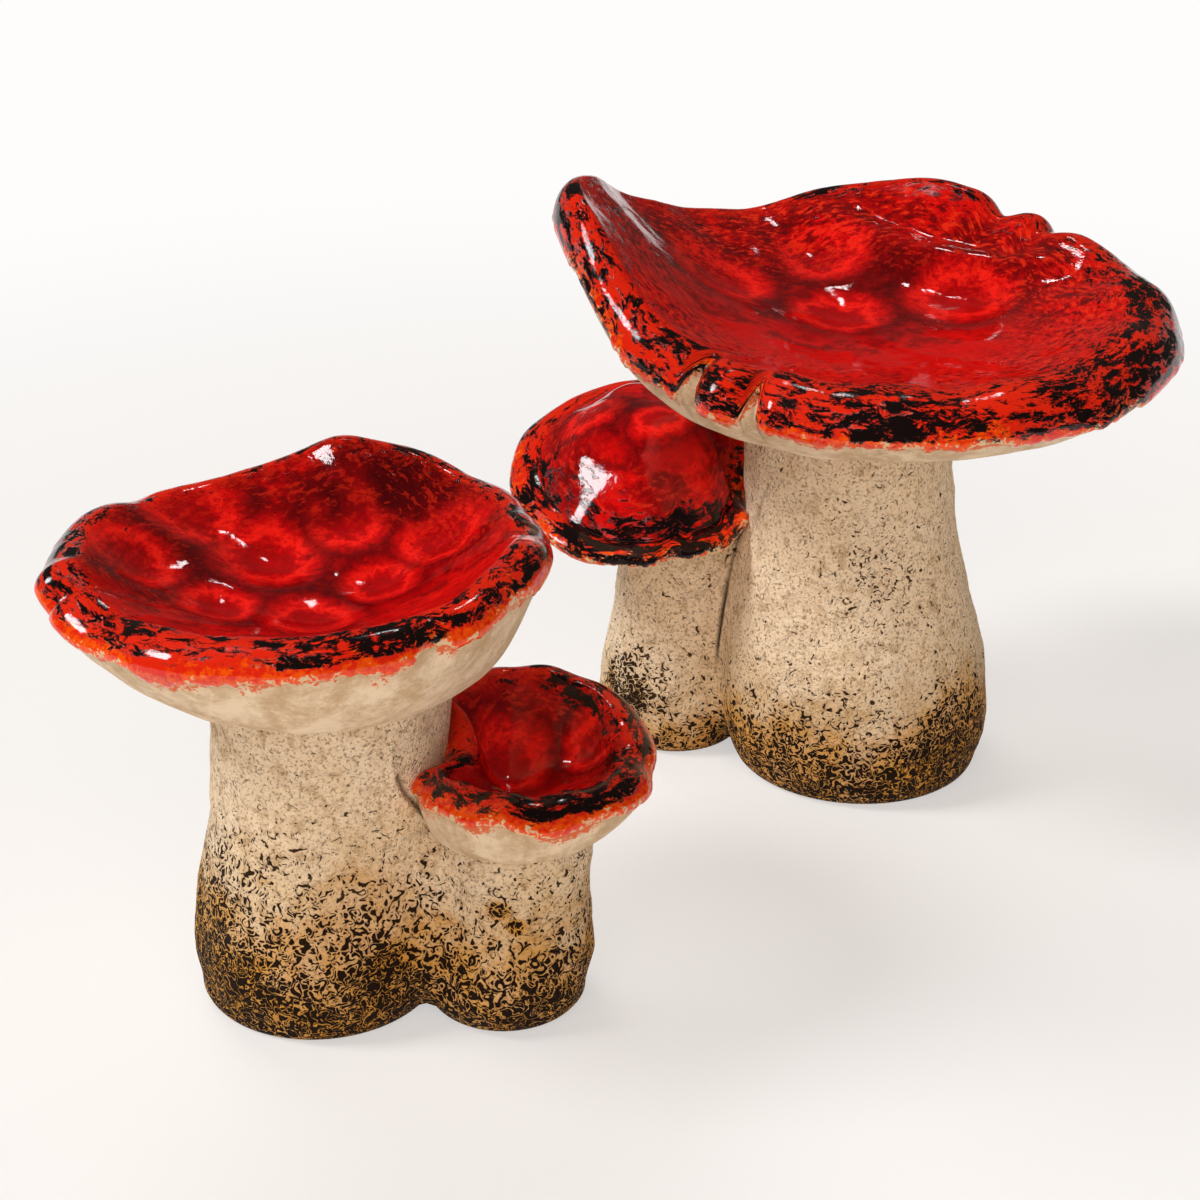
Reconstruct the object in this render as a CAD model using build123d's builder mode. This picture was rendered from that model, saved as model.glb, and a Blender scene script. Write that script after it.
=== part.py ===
from build123d import *

# A pair of ceramic mushroom ornaments, a low one and a tall one, standing side by side.
# Each ornament is a main mushroom with a smaller side mushroom luted against it.
# A mushroom is a hollow cast stem, open at the foot, and a cap whose spigot sits in the stem's
# mouth on a layer of slip. A coat of glaze covers the cap's top and its lip.
# Millimetres, +Z up, the feet stand on Z = 0 and the origin is below the middle of the pair.

import os
from dataclasses import dataclass
from math import cos, exp, hypot, pi, radians, sin

# Clay, slip and glaze
WALL = 7.0  # cast wall of a stem
MOUTH_WALL = 5.5  # wall left around the mouth, which is cut back for the spigot
FOOT_RING = 8.0  # width of the flat ring that a stem stands on
SLIP = 1.0  # fired slip between two castings
HAIRLINE = 0.25  # room between the slip of a seam and the curved castings beside it
GLAZE = 0.9  # glaze coat on a cap
SPIGOT_DEPTH = 8.0  # spigot under a cap, seated in the stem's mouth
SEAT_OVERHANG = 2.0  # how far a cap's flat seat stands out past the stem's top
GLAZE_DROP = 0.94  # how far out along the underside the glaze ends, 1 being the widest line
DISH_FLAT = 0.04  # the flat at the bottom of a cap's dish, as a share of the way to the lip
SEAM_SPREAD = 3.0  # how far the slip between two stems is smeared past the joint

# Low ornament, main stem
LOW_MAIN_X = -106.9
LOW_MAIN_Y = -91.5
LOW_MAIN_LEAN = 8.0  # the top's shift along X
LOW_MAIN_HEIGHT = 110.0
LOW_MAIN_BELLY = 40.5
LOW_MAIN_FOOT = 0.84 * LOW_MAIN_BELLY  # radius of the standing ring's outer edge
LOW_MAIN_BELLY_HEIGHT = 18.0
LOW_MAIN_WAIST = 0.89 * LOW_MAIN_BELLY
LOW_MAIN_WAIST_HEIGHT = 76.0
LOW_MAIN_TOP = 0.914 * LOW_MAIN_BELLY

# Low ornament, side stem
LOW_SIDE_BEARING = -9.0  # direction from the main stem's foot, degrees from +X
LOW_SIDE_LAP = 9.0  # how deep the two bellies lap into each other
LOW_SIDE_LEAN = 4.0
LOW_SIDE_HEIGHT = 62.0
LOW_SIDE_BELLY = 27.5
LOW_SIDE_FOOT = 0.727 * LOW_SIDE_BELLY
LOW_SIDE_BELLY_HEIGHT = 16.0
LOW_SIDE_WAIST = 0.855 * LOW_SIDE_BELLY
LOW_SIDE_WAIST_HEIGHT = 45.0
LOW_SIDE_TOP = LOW_SIDE_WAIST

# Tall ornament, main stem
TALL_MAIN_X = 76.1
TALL_MAIN_Y = 59.5
TALL_MAIN_LEAN = -9.0
TALL_MAIN_HEIGHT = 138.0
TALL_MAIN_BELLY = 49.5
TALL_MAIN_FOOT = 0.828 * TALL_MAIN_BELLY
TALL_MAIN_BELLY_HEIGHT = 26.0
TALL_MAIN_WAIST = 0.747 * TALL_MAIN_BELLY
TALL_MAIN_WAIST_HEIGHT = 105.0
TALL_MAIN_TOP = 0.707 * TALL_MAIN_BELLY

# Tall ornament, side stem
TALL_SIDE_BEARING = 163.0
TALL_SIDE_LAP = 9.0
TALL_SIDE_LEAN = 3.0
TALL_SIDE_HEIGHT = 84.0
TALL_SIDE_BELLY = 29.0
TALL_SIDE_FOOT = 0.759 * TALL_SIDE_BELLY
TALL_SIDE_BELLY_HEIGHT = 22.0
TALL_SIDE_WAIST = 0.845 * TALL_SIDE_BELLY
TALL_SIDE_WAIST_HEIGHT = 64.0
TALL_SIDE_TOP = 0.828 * TALL_SIDE_BELLY

# Rims of the caps: bearing in degrees, reach from the stem's axis, rise above the seat, lip width
LOW_MAIN_RIM = [
    (0, 65, 41, 8), (30, 67, 38, 8), (60, 72, 40, 8), (90, 73, 44, 7),
    (120, 76, 36, 7), (150, 80, 38, 8), (180, 81, 40, 9), (210, 81, 37, 10),
    (240, 79, 38, 9), (270, 76, 40, 9), (300, 70, 40, 8), (330, 66, 42, 8),
]
LOW_SIDE_RIM = [
    (0, 41, 23, 8), (30, 44, 26, 8), (60, 44, 30, 7), (90, 42, 32, 6),
    (120, 40, 30, 6), (150, 36, 26, 6), (180, 32, 22, 7), (210, 33, 24, 7),
    (240, 37, 25, 8), (270, 40, 25, 8), (300, 42, 24, 8), (330, 42, 23, 8),
]
TALL_MAIN_RIM = [
    (0, 112.6, 38, 14), (30, 114, 42, 12), (60, 110, 52, 10), (90, 108, 47, 8),
    (120, 103, 44, 8), (150, 102, 63, 7), (180, 100, 74, 7), (210, 92, 46, 10),
    (240, 90, 34, 14), (270, 96, 32, 17), (300, 106, 33, 17), (330, 111, 35, 16),
]
TALL_SIDE_RIM = [
    (0, 32, 26, 8), (30, 38, 34, 8), (60, 44, 37, 8), (90, 50, 38, 8),
    (120, 56, 36, 8), (150, 61, 30, 8), (180, 64, 22, 8), (210, 62, 13, 8),
    (240, 56, 8, 8), (270, 47, 9, 8), (300, 37, 14, 8), (330, 32, 20, 8),
]

# Undersides, lips and dishes of the caps
LOW_MAIN_BOWL = 2.0  # roundness of the underside, 1 being a straight cone
LOW_MAIN_LIP = 6.5  # height of the lip's crest above its widest line
LOW_MAIN_DISH_FLOOR = 20.0  # the dish's middle above the seat
LOW_SIDE_BOWL = 1.8
LOW_SIDE_LIP = 6.0
LOW_SIDE_DISH_FLOOR = 10.0
TALL_MAIN_BOWL = 2.6
TALL_MAIN_LIP = 12.0
TALL_MAIN_DISH_FLOOR = 24.0
TALL_SIDE_BOWL = 1.3
TALL_SIDE_LIP = 4.5
TALL_SIDE_DISH_FLOOR = 42.0  # above the rim: this cap is a dome that droops to one side

# Dents that fingers pressed into the dishes: x and y from the stem's axis, and radius
DENT_DEPTH = 3.0
LOW_MAIN_DENTS = [
    (-46, 40, 22), (-58, 4, 20), (-22, 26, 24), (2, 42, 19),
    (32, 30, 20), (15, 12, 17), (-32, -8, 17), (-4, -12, 19),
]
TALL_MAIN_DENTS = [(-2, 20, 24), (42, 28, 26), (-4, 66, 24), (-44, 36, 26)]

# The tall dish's long ridge and the furrow behind it: corners from the stem's axis
TALL_MAIN_RIDGE = [(-8, 100), (28, 56), (57, 44), (113, 35)]
TALL_MAIN_RIDGE_HEIGHT = 4.5
TALL_MAIN_FURROW = [(20, 82), (40, 67), (68, 52)]
TALL_MAIN_FURROW_DEPTH = 3.0
FOLD_WIDTH = 10.0  # half width of ridge and furrow
DENT_FADE = 0.25  # where dents and folds fade towards the lip, as a share of the way to it

LIP_TURN = 104.0  # degrees that every lip turns, from its widest line over its crest
DISH_CURVE = 2.2  # roundness of every dish, from its middle to the lip
STEM_LEVEL_COUNT = 8  # even steps of a stem's height


@dataclass
class Stem:
    """A round cast stem: its foot's place, its lean along X, and its radii at four heights."""

    x: float
    y: float
    lean: float
    height: float
    foot: float
    belly: float
    belly_height: float
    waist: float
    waist_height: float
    top: float

    def middle(self, z):
        """The leaning stem's axis at height z."""
        return (self.x + self.lean * z / self.height, self.y, z)

    def cap_middle(self, z):
        """The upright axis that the mouth, the slip and the cap share."""
        return (self.x + self.lean, self.y, z)

    def radius(self, z):
        """Outer radius at height z: a rounded foot, an easy curve to the waist, then the top."""
        if z <= self.belly_height:
            below = 1 - z / self.belly_height
            return self.foot + (self.belly - self.foot) * (1 - below * below) ** 0.5
        if z <= self.waist_height:
            share = (z - self.belly_height) / (self.waist_height - self.belly_height)
            return self.belly + (self.waist - self.belly) * (1 - cos(pi * share)) / 2
        share = (z - self.waist_height) / (self.height - self.waist_height)
        return self.waist + (self.top - self.waist) * share * share

    def levels(self):
        """Evenly spaced heights from the foot to the top."""
        return [self.height * i / STEM_LEVEL_COUNT for i in range(STEM_LEVEL_COUNT + 1)]

    def mouth(self):
        """Radius of the round mouth that takes the cap's spigot."""
        return self.top - MOUTH_WALL

    def seat(self):
        """Height of the cap's seat, on its layer of slip."""
        return self.height + SLIP


@dataclass
class Cap:
    """A cap on its stem: the wavy rim, the underside's roundness, the lip, the dish and its dents."""

    stem: Stem
    rim: list
    bowl: float
    lip_height: float
    dish_floor: float
    dents: list
    folds: list

    def relief(self, x, y):
        """How far dents and folds raise the dish, at x and y from the axis."""
        height = 0.0
        for dent_x, dent_y, radius in self.dents:
            gap = min(hypot(x - dent_x, y - dent_y) / radius, 1.0)
            height -= DENT_DEPTH * (1 - gap * gap) ** 2
        for corners, fold_height in self.folds:
            gap = line_gap(x, y, corners) / FOLD_WIDTH
            height += fold_height * exp(-gap * gap)
        return height

    def fine_rim(self):
        """The rim's entries, with one more halfway between each two, on a smooth curve."""
        entries = []
        count = len(self.rim)
        for i in range(count):
            before, here, after, beyond = (self.rim[(i + step) % count] for step in (-1, 0, 1, 2))
            halfway = [(9 * (b + c) - a - d) / 16 for a, b, c, d in zip(before, here, after, beyond)]
            entries += [here, (here[0] + 180 / count, *halfway[1:])]
        return entries

    def ring(self, station, inset):
        """One closed ring of the cap, through the point of its section at each bearing."""
        axis_x, axis_y, seat = self.stem.cap_middle(self.stem.seat())
        points = []
        for bearing, reach, rise, lip_width in self.fine_rim():
            radius, height, dented = station(self, reach, rise, lip_width, inset)
            x, y = radius * cos(radians(bearing)), radius * sin(radians(bearing))
            points.append((axis_x + x, axis_y + y, seat + height + dented * self.relief(x, y)))
        evenly = list(range(len(points) + 1))
        with BuildLine() as line:
            add(Edge.make_spline(points, periodic=True, parameters=evenly))
        return line.wire()


def line_gap(x, y, corners):
    """Distance of a place from a line through corners."""
    gaps = []
    for (ax, ay), (bx, by) in zip(corners, corners[1:]):
        along = ((x - ax) * (bx - ax) + (y - ay) * (by - ay)) / ((bx - ax) ** 2 + (by - ay) ** 2)
        along = min(max(along, 0.0), 1.0)
        gaps.append(hypot(x - ax - along * (bx - ax), y - ay - along * (by - ay)))
    return min(gaps)


# Stations along a cap's section. Each gives a radius, a height above the seat and how much dents
# and folds show there. An inset moves it under the surface, by the thickness of the glaze.
def underside(share):
    def station(cap, reach, rise, lip_width, inset):
        seat_radius = cap.stem.top + SEAT_OVERHANG
        radius = seat_radius + (reach - seat_radius) * share
        return radius - inset, (rise - cap.lip_height) * share**cap.bowl, 0

    return station


def lip(angle):
    a = radians(angle)

    def station(cap, reach, rise, lip_width, inset):
        radius = reach - lip_width + (lip_width - inset) * cos(a)
        return radius, rise - cap.lip_height + (cap.lip_height - inset) * sin(a), 0

    return station


def dish(share):
    fade = min((1 - share) / DENT_FADE, 1.0)

    def station(cap, reach, rise, lip_width, inset):
        edge, edge_height, _ = lip(LIP_TURN)(cap, reach, rise, lip_width, 0.0)
        height = cap.dish_floor + (edge_height - cap.dish_floor) * share**DISH_CURVE
        return edge * share, height - inset, fade * fade * (3 - 2 * fade)

    return station


def dish_middle(cap, reach, rise, lip_width, inset):
    radius, _, _ = dish(DISH_FLAT)(cap, reach, rise, lip_width, inset)
    return radius, cap.dish_floor + cap.relief(0.0, 0.0) - inset, 0


UNDERSIDE = [underside(0), underside(0.3), underside(0.6), underside(GLAZE_DROP)]
SKIRT = [underside(GLAZE_DROP), lip(0)]
LIP = [lip(0), lip(LIP_TURN / 3), lip(LIP_TURN * 2 / 3), lip(LIP_TURN)]
DISH = [lip(LIP_TURN)] + [dish(share) for share in (0.88, 0.73, 0.57, 0.41, 0.26, 0.13)] + [dish_middle]


def stem_solid(stem, grow=0.0):
    """The stem's outer form with no hollow, its radii larger by grow."""
    with BuildPart() as form:
        for height in stem.levels():
            with BuildSketch(Plane(stem.middle(height))):
                Circle(stem.radius(height) + grow)
        loft()
    return form.part


def hollow_stem(stem, label, cut_by=None):
    """A cast stem: its wall, the open foot and the mouth for the spigot."""
    with BuildPart() as casting:
        add(stem_solid(stem))
        for height in stem.levels():
            wall = FOOT_RING if height == 0 else WALL
            with BuildSketch(Plane(stem.middle(height))):
                Circle(stem.radius(height) - wall)
        loft(mode=Mode.SUBTRACT)
        with BuildSketch(Plane(stem.cap_middle(stem.height))):
            Circle(stem.mouth())
        extrude(amount=-SPIGOT_DEPTH, mode=Mode.SUBTRACT)
        if cut_by is not None:
            add(cut_by, mode=Mode.SUBTRACT)
    casting.part.label = label
    return casting.part


def slip_ring(stem, label, cut_by=None):
    """The fired slip under a cap: a flat ring on the stem's top and a sleeve round the spigot."""
    with BuildPart() as slip:
        with BuildSketch(Plane(stem.cap_middle(stem.height))):
            Circle(stem.top)
            Circle(stem.mouth() - SLIP, mode=Mode.SUBTRACT)
        extrude(amount=SLIP)
        with BuildSketch(Plane(stem.cap_middle(stem.height))):
            Circle(stem.mouth())
            Circle(stem.mouth() - SLIP, mode=Mode.SUBTRACT)
        extrude(amount=-SPIGOT_DEPTH)
        if cut_by is not None:
            add(cut_by, mode=Mode.SUBTRACT)
    slip.part.label = label
    return slip.part


def skin(cap, stations, inset=0.0):
    """A smooth skin through rings of the cap."""
    return Shell.make_loft([cap.ring(station, inset) for station in stations]).faces()


def disc(cap, station, inset=0.0):
    """The flat round face inside one ring."""
    return [Face(cap.ring(station, inset))]


def glaze_edge(cap):
    """The narrow strip where the glaze ends against the bare clay."""
    ends = [cap.ring(SKIRT[0], 0.0), cap.ring(SKIRT[0], GLAZE)]
    return Shell.make_loft(ends, ruled=True).faces()


def top_skin(cap, inset=0.0):
    """Skirt, lip and dish, down to the flat at the dish's middle."""
    faces = skin(cap, SKIRT, inset) + skin(cap, LIP, inset) + skin(cap, DISH, inset)
    return faces + disc(cap, DISH[-1], inset)


def cap_form(cap):
    """A cap's whole outer form, clay and glaze together, with no spigot."""
    faces = disc(cap, UNDERSIDE[0]) + skin(cap, UNDERSIDE) + top_skin(cap)
    with BuildPart() as form:
        add(Solid(Shell(faces)))
    return form.part


def cap_clay(cap, label, cut_by=None):
    """A cap's clay: the bare underside, the form under the glaze, and the spigot."""
    faces = disc(cap, UNDERSIDE[0]) + skin(cap, UNDERSIDE) + glaze_edge(cap) + top_skin(cap, GLAZE)
    with BuildPart() as clay:
        add(Solid(Shell(faces)))
        with BuildSketch(Plane(cap.stem.cap_middle(cap.stem.seat()))):
            Circle(cap.stem.mouth() - SLIP)
        extrude(amount=-SPIGOT_DEPTH)
        if cut_by is not None:
            add(cut_by, mode=Mode.SUBTRACT)
    clay.part.label = label
    return clay.part


def cap_glaze(cap, label, cut_by=None):
    """The coat of glaze over a cap's top and lip."""
    faces = top_skin(cap) + glaze_edge(cap) + top_skin(cap, GLAZE)
    with BuildPart() as coat:
        add(Solid(Shell(faces)))
        if cut_by is not None:
            add(cut_by, mode=Mode.SUBTRACT)
    coat.part.label = label
    return coat.part


def seam(form, stem, label):
    """The layer of slip between a main stem and the piece whose form laps into it."""
    with BuildPart() as layer:
        add(stem_solid(stem, SLIP))
        add(stem_solid(stem, HAIRLINE), mode=Mode.SUBTRACT)
        add(form, mode=Mode.INTERSECT)
    layer.part.label = label
    return layer.part


def side_place(main_x, main_y, main_belly, side_belly, lap, bearing):
    """Foot of a side stem whose belly laps into the main stem's belly."""
    spacing = main_belly + side_belly - lap
    a = radians(bearing)
    return main_x + spacing * cos(a), main_y + spacing * sin(a)


def ornament(name, main, side):
    """Every piece of one ornament. The side pieces are trimmed to fit the main stem."""
    main_and_slip = stem_solid(main.stem, SLIP + HAIRLINE)
    return [
        hollow_stem(main.stem, f"{name}_main_stem"),
        slip_ring(main.stem, f"{name}_main_slip"),
        cap_clay(main, f"{name}_main_cap"),
        cap_glaze(main, f"{name}_main_glaze"),
        hollow_stem(side.stem, f"{name}_side_stem", main_and_slip),
        slip_ring(side.stem, f"{name}_side_slip", main_and_slip),
        cap_clay(side, f"{name}_side_cap", main_and_slip),
        cap_glaze(side, f"{name}_side_glaze", main_and_slip),
        seam(stem_solid(side.stem, SEAM_SPREAD), main.stem, f"{name}_stem_seam"),
        seam(cap_form(side), main.stem, f"{name}_cap_seam"),
    ]


# Stems
low_main_stem = Stem(
    LOW_MAIN_X, LOW_MAIN_Y, LOW_MAIN_LEAN, LOW_MAIN_HEIGHT, LOW_MAIN_FOOT,
    LOW_MAIN_BELLY, LOW_MAIN_BELLY_HEIGHT, LOW_MAIN_WAIST, LOW_MAIN_WAIST_HEIGHT, LOW_MAIN_TOP,
)
low_side_stem = Stem(
    *side_place(
        LOW_MAIN_X, LOW_MAIN_Y, LOW_MAIN_BELLY, LOW_SIDE_BELLY, LOW_SIDE_LAP, LOW_SIDE_BEARING
    ),
    LOW_SIDE_LEAN, LOW_SIDE_HEIGHT, LOW_SIDE_FOOT,
    LOW_SIDE_BELLY, LOW_SIDE_BELLY_HEIGHT, LOW_SIDE_WAIST, LOW_SIDE_WAIST_HEIGHT, LOW_SIDE_TOP,
)
tall_main_stem = Stem(
    TALL_MAIN_X, TALL_MAIN_Y, TALL_MAIN_LEAN, TALL_MAIN_HEIGHT, TALL_MAIN_FOOT,
    TALL_MAIN_BELLY, TALL_MAIN_BELLY_HEIGHT, TALL_MAIN_WAIST, TALL_MAIN_WAIST_HEIGHT, TALL_MAIN_TOP,
)
tall_side_stem = Stem(
    *side_place(
        TALL_MAIN_X, TALL_MAIN_Y, TALL_MAIN_BELLY, TALL_SIDE_BELLY, TALL_SIDE_LAP, TALL_SIDE_BEARING
    ),
    TALL_SIDE_LEAN, TALL_SIDE_HEIGHT, TALL_SIDE_FOOT,
    TALL_SIDE_BELLY, TALL_SIDE_BELLY_HEIGHT, TALL_SIDE_WAIST, TALL_SIDE_WAIST_HEIGHT, TALL_SIDE_TOP,
)

# Caps
low_main_cap = Cap(
    low_main_stem, LOW_MAIN_RIM, LOW_MAIN_BOWL, LOW_MAIN_LIP, LOW_MAIN_DISH_FLOOR, LOW_MAIN_DENTS, []
)
low_side_cap = Cap(
    low_side_stem, LOW_SIDE_RIM, LOW_SIDE_BOWL, LOW_SIDE_LIP, LOW_SIDE_DISH_FLOOR, [], []
)
tall_folds = [(TALL_MAIN_RIDGE, TALL_MAIN_RIDGE_HEIGHT), (TALL_MAIN_FURROW, -TALL_MAIN_FURROW_DEPTH)]
tall_main_cap = Cap(
    tall_main_stem, TALL_MAIN_RIM, TALL_MAIN_BOWL, TALL_MAIN_LIP, TALL_MAIN_DISH_FLOOR,
    TALL_MAIN_DENTS, tall_folds,
)
tall_side_cap = Cap(
    tall_side_stem, TALL_SIDE_RIM, TALL_SIDE_BOWL, TALL_SIDE_LIP, TALL_SIDE_DISH_FLOOR, [], []
)

# The finished pieces, one file each
os.makedirs("parts", exist_ok=True)
pieces = ornament("low", low_main_cap, low_side_cap)
pieces += ornament("tall", tall_main_cap, tall_side_cap)
for piece in pieces:
    export_step(piece, f"parts/{piece.label}.step")
    print(piece.label, round(piece.volume), "mm3")
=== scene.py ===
# %% [markdown]
# # A pair of glazed mushroom ornaments
# Two ceramic ornaments stand side by side, a low one and a tall one. Each is a main mushroom
# with a smaller one luted to its side. This lesson dresses the packed CAD model: every piece
# keeps its place in the frame, and gets the dents, drips and speckles of the real ware.
# The frame is loaded first.

# %% Load the frame
from dataclasses import dataclass, field
from math import cos, pi, radians, sin

import bpy
import numpy as np
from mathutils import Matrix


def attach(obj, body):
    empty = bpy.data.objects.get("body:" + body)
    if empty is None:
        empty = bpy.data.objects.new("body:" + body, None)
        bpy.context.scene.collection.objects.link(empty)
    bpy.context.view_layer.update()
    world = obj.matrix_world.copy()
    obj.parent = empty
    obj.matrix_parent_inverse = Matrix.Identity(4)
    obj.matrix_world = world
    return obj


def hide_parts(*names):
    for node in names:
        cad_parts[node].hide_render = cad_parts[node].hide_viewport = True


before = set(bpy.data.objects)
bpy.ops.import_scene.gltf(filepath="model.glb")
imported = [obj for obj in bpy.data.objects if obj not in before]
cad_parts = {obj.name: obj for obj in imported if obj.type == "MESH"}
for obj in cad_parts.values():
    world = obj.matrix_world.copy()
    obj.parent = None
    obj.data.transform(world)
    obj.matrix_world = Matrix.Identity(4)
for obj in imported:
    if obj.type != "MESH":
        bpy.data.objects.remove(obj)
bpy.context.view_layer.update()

# %% [markdown]
# ## Measures
# The maker's sizes are easier to read in millimetres, so shapes are worked out in millimetres
# and turned into Blender's metres when a mesh is made. The values repeat the part's source.

# %% Measures of clay and glaze
MM = 0.001
WALL = 7.0  # of a stem
MOUTH_WALL = 5.5  # of a stem, where the cap's spigot enters it
FOOT_RING = 8.0  # width of the flat ring that a stem stands on
SPIGOT_DEPTH = 8.0
SLIP = 1.0
GLAZE = 0.9
HAIRLINE = 0.25  # room between a trimmed side stem and the main stem
print("stem walls", WALL, "mm, slip", SLIP, "mm, glaze", GLAZE, "mm")

# %% [markdown]
# ## Stems
# A stem is cast hollow and leans a little. It could be a lathe profile, but two stems that grow
# into each other need to know where the other one is, so the radius is a formula of the height.

# %% The stems' form
FAR = 1000.0  # millimetres, further than any piece reaches


@dataclass
class Stem:
    """A cast stem: the foot's place, the lean along X, and the radii at four heights."""

    x: float
    y: float
    lean: float
    height: float
    foot: float
    belly: float
    belly_height: float
    waist: float
    waist_height: float
    top: float

    def middle(self, z):
        """The leaning axis at height z."""
        return self.x + self.lean * z / self.height, self.y + 0 * z

    def radius(self, z):
        """A rounded foot, an easy curve to the waist, then the top."""
        below = np.clip(1 - z / self.belly_height, 0, 1)
        rounded = self.foot + (self.belly - self.foot) * np.sqrt(1 - below**2)
        rise = np.clip((z - self.belly_height) / (self.waist_height - self.belly_height), 0, 1)
        eased = self.belly + (self.waist - self.belly) * (1 - np.cos(pi * rise)) / 2
        rise = np.clip((z - self.waist_height) / (self.height - self.waist_height), 0, 1)
        flared = self.waist + (self.top - self.waist) * rise**2
        lower = np.where(z <= self.belly_height, rounded, eased)
        return np.where(z <= self.waist_height, lower, flared)

    def away(self, points):
        """How far points stand off the stem's outer face."""
        x, y = self.middle(points[..., 2])
        return np.hypot(points[..., 0] - x, points[..., 1] - y) - self.radius(points[..., 2])

    def room(self, start_x, start_y, bearings, z, gap):
        """How far a level line can run from a start before it meets this stem's face."""
        x, y = self.middle(z)
        toward = np.cos(bearings) * (x - start_x) + np.sin(bearings) * (y - start_y)
        reach = self.radius(z) + gap
        spare = toward**2 - (x - start_x) ** 2 - (y - start_y) ** 2 + reach**2
        meets = (toward > 0) & (spare > 0)
        return np.where(meets, toward - np.sqrt(np.maximum(spare, 0)), FAR)


low_main_stem = Stem(
    x=-106.9, y=-91.5, lean=8, height=110, foot=34,
    belly=40.5, belly_height=18, waist=36, waist_height=76, top=37,
)
low_side_stem = Stem(
    x=-48.6, y=-100.7, lean=4, height=62, foot=20,
    belly=27.5, belly_height=16, waist=23.5, waist_height=45, top=23.5,
)
tall_main_stem = Stem(
    x=76.1, y=59.5, lean=-9, height=138, foot=41,
    belly=49.5, belly_height=26, waist=37, waist_height=105, top=35,
)
tall_side_stem = Stem(
    x=9.6, y=79.8, lean=3, height=84, foot=22,
    belly=29, belly_height=22, waist=24.5, waist_height=64, top=24,
)
for stem in (low_main_stem, low_side_stem, tall_main_stem, tall_side_stem):
    print("a stem", stem.height, "mm high and", 2 * stem.belly, "mm wide")

# %% [markdown]
# ## Hand-made unevenness
# Nothing here is turned on a machine, so every face wanders. A sum of sine waves in random
# directions is smooth, quick with numpy, and the same on each run because the draw is seeded.

# %% Lumps
def lumps(points, wavelength, seed):
    """Smooth random swellings of about plus or minus one, at points in millimetres."""
    draw = np.random.default_rng(seed)
    total = np.zeros(points.shape[:-1])
    waves = 14
    for _ in range(waves):
        direction = draw.normal(size=3)
        direction /= np.linalg.norm(direction)
        pace = 2 * pi / (wavelength * draw.uniform(0.7, 1.5))
        total += np.sin(points @ direction * pace + draw.uniform(0, 2 * pi))
    return total / np.sqrt(waves)


def ripple(bearings, slowest, fastest, seed):
    """A wavy line round a rim, of about plus or minus one."""
    draw = np.random.default_rng(seed)
    total = np.zeros_like(bearings)
    for count in range(slowest, fastest):
        total += draw.normal() * np.sin(count * bearings + draw.uniform(0, 2 * pi))
    return total / np.sqrt(fastest - slowest)


def ease(value, low, high):
    """A smooth step from 0 at low to 1 at high."""
    share = np.clip((value - low) / (high - low), 0, 1)
    return share * share * (3 - 2 * share)


print("swelling at the origin", lumps(np.zeros((1, 3)), 30, 1))

# %% [markdown]
# ## From a grid of points to a mesh
# Every piece is a grid: rows along its section and columns round its axis. One helper makes
# the quads, closes the two ends and stores named marks on the points, which the finishes read
# later. Another hands the mesh to the frame. Blender's own shapes could be pushed about with
# modifiers, but a grid lets each point be worked out from the measures.

# %% Grid to mesh
def grid_mesh(name, rows, joined=False, marks=None):
    """A closed mesh over a grid of points, joined last row to first or closed with fans."""
    count, around = rows.shape[:2]
    points = rows.reshape(-1, 3)
    index = np.arange(count * around).reshape(count, around)
    below = index if joined else index[:-1]
    above = np.roll(index, -1, 0) if joined else index[1:]
    quads = np.stack([below, np.roll(below, -1, 1), np.roll(above, -1, 1), above], -1).reshape(-1, 4)
    faces = quads.tolist()
    if not joined:
        points = np.vstack([points, rows[0].mean(0), rows[-1].mean(0)])
        first, last = count * around, count * around + 1
        for j in range(around):
            k = (j + 1) % around
            faces.append([first, int(index[0, k]), int(index[0, j])])
            faces.append([last, int(index[-1, j]), int(index[-1, k])])
    mesh = bpy.data.meshes.new(name)
    mesh.from_pydata((points * MM).tolist(), [], faces)
    for mark, values in (marks or {}).items():
        values = np.broadcast_to(values, (count, around))
        flat = values.reshape(-1)
        if not joined:
            flat = np.concatenate([flat, [values[0].mean(), values[-1].mean()]])
        mesh.attributes.new(mark, "FLOAT", "POINT").data.foreach_set("value", flat.astype(np.float32))
    mesh.shade_smooth()
    return mesh


def place_piece(name, mesh, node, body, slot, material):
    """Hand a finished mesh to the frame in place of its CAD node."""
    piece = bpy.data.objects.new(name, mesh)
    bpy.context.scene.collection.objects.link(piece)
    mesh.materials.append(material)
    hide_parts(node)
    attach(piece, body)
    print(name, len(mesh.vertices), "points")


print("helpers", grid_mesh.__name__, place_piece.__name__)

# %% Rings and directions
def round_bearings(count):
    """Evenly spaced bearings round an axis."""
    return np.arange(count) * 2 * pi / count


def ring_points(x, y, radius, z, bearings):
    """Points at height z round a middle at x and y."""
    return np.stack([x + radius * np.cos(bearings), y + radius * np.sin(bearings), z + 0 * bearings], -1)


def grid_normals(points):
    """Outward directions on a grid whose rows run from the seat over the rim to the middle."""
    along = np.gradient(points, axis=0)
    around = np.roll(points, -1, 1) - np.roll(points, 1, 1)
    normal = np.cross(around, along)
    return normal / np.maximum(np.linalg.norm(normal, axis=2, keepdims=True), 1e-9)


print("four bearings", round_bearings(4))

# %% [markdown]
# ## Writing shaders as sums
# A finish is easier to read as an expression than as a web of nodes. The class below wraps a
# socket, so that `1 - mask` adds its Math node by itself. Colours go through Mix nodes, and
# any other node is made by one method, with its settings first and its sockets after.

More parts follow.
